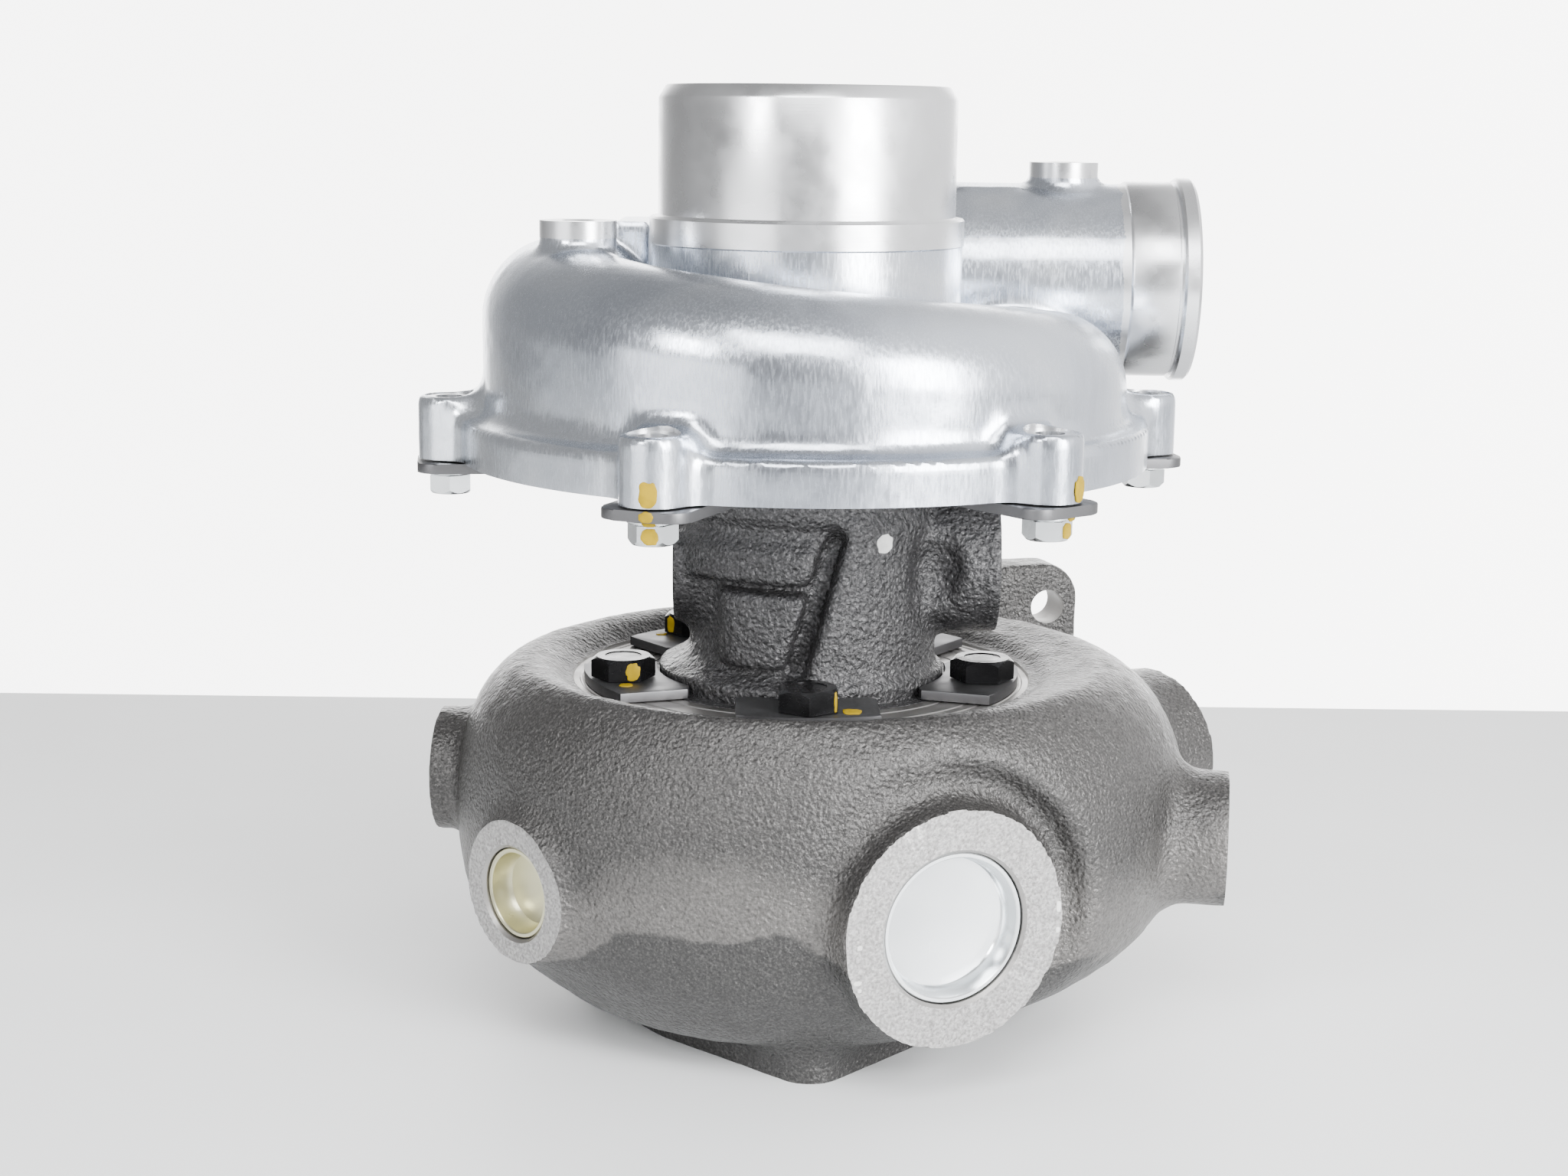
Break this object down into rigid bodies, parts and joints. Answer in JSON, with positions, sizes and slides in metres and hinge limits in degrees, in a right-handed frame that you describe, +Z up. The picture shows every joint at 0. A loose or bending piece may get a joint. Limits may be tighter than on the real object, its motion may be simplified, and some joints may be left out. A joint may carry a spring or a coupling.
{
  "type": "turbocharger",
  "caption": "Water-cooled turbocharger with an upright shaft: dark iron turbine housing on a flanged foot, black bearing housing, bright aluminium compressor scroll.",
  "frame": {"origin": "middle of the object's footprint, at the underside of the foot flange", "axes": "+Z up along the shaft from the turbine to the compressor, +X the way the compressor outlet points, -Y the side with the large core plug"},
  "size_m": [0.2559, 0.2564, 0.2867],
  "materials": {
    "cover_aluminium": "satin cast aluminium, machined at the spigots",
    "wheel_aluminium": "machined aluminium",
    "bearing_housing_iron": "black coated rough casting",
    "turbine_housing_iron": "dark grey-brown coated rough casting",
    "zinc_plate": "bright zinc plate",
    "yellow_zinc": "yellow zinc plate",
    "black_oxide": "black oxide, lightly oiled",
    "plate_steel": "sheared plain steel",
    "machined_steel": "ground steel",
    "nickel_alloy": "investment cast nickel alloy",
    "bearing_bronze": "machined bearing bronze",
    "rubber": "matt black"
  },
  "bodies": {
    "housing": {"backplate": "cover_aluminium", "backplate_o_ring": "rubber", "backplate_screw_1": "machined_steel", "backplate_screw_2": "machined_steel", "backplate_screw_3": "machined_steel", "backplate_screw_4": "machined_steel", "bearing_housing": "bearing_housing_iron", "compressor_cover": "cover_aluminium", "core_plug_front": "zinc_plate", "core_plug_front_left": "yellow_zinc", "core_plug_rear": "zinc_plate", "cover_bolt_1": "zinc_plate", "cover_bolt_2": "zinc_plate", "cover_bolt_3": "zinc_plate", "cover_bolt_4": "zinc_plate", "cover_bolt_5": "zinc_plate", "cover_bolt_6": "zinc_plate", "cover_clamp_1": "plate_steel", "cover_clamp_2": "plate_steel", "cover_clamp_3": "plate_steel", "cover_clamp_4": "plate_steel", "cover_clamp_5": "plate_steel", "cover_clamp_6": "plate_steel", "cover_washer_1": "zinc_plate", "cover_washer_2": "zinc_plate", "cover_washer_3": "zinc_plate", "cover_washer_4": "zinc_plate", "cover_washer_5": "zinc_plate", "cover_washer_6": "zinc_plate", "heat_shield": "plate_steel", "oil_deflector": "plate_steel", "retaining_ring_lower": "machined_steel", "retaining_ring_upper": "machined_steel", "seal_ring_compressor": "machined_steel", "seal_ring_turbine": "machined_steel", "thrust_bearing": "bearing_bronze", "turbine_bolt_1": "black_oxide", "turbine_bolt_2": "black_oxide", "turbine_bolt_3": "black_oxide", "turbine_bolt_4": "black_oxide", "turbine_bolt_5": "black_oxide", "turbine_clamp_1": "plate_steel", "turbine_clamp_2": "plate_steel", "turbine_clamp_3": "plate_steel", "turbine_clamp_4": "plate_steel", "turbine_clamp_5": "plate_steel", "turbine_housing": "turbine_housing_iron"},
    "rotor": {"turbine_wheel_and_shaft": "nickel_alloy", "compressor_wheel": "wheel_aluminium", "shaft_nut": "machined_steel", "thrust_collar": "machined_steel", "oil_slinger": "machined_steel"},
    "bearing_upper": {"floating_bearing_upper": "bearing_bronze"},
    "bearing_lower": {"floating_bearing_lower": "bearing_bronze"}
  },
  "joints": [
    {"name": "rotor_spin", "type": "hinge", "parent": "housing", "child": "rotor", "pos_m": [-0.0101, -0.0163, 0.14], "axis": [0, 0, 1], "continuous": true},
    {"name": "floating_bearing_upper_spin", "type": "hinge", "parent": "housing", "child": "bearing_upper", "pos_m": [-0.0101, -0.0163, 0.14], "axis": [0, 0, 1], "continuous": true},
    {"name": "floating_bearing_lower_spin", "type": "hinge", "parent": "housing", "child": "bearing_lower", "pos_m": [-0.0101, -0.0163, 0.14], "axis": [0, 0, 1], "continuous": true}
  ],
  "couplings": [
    {"joint": "floating_bearing_upper_spin", "follows": "rotor_spin", "ratio": 0.25},
    {"joint": "floating_bearing_lower_spin", "follows": "rotor_spin", "ratio": 0.25}
  ]
}
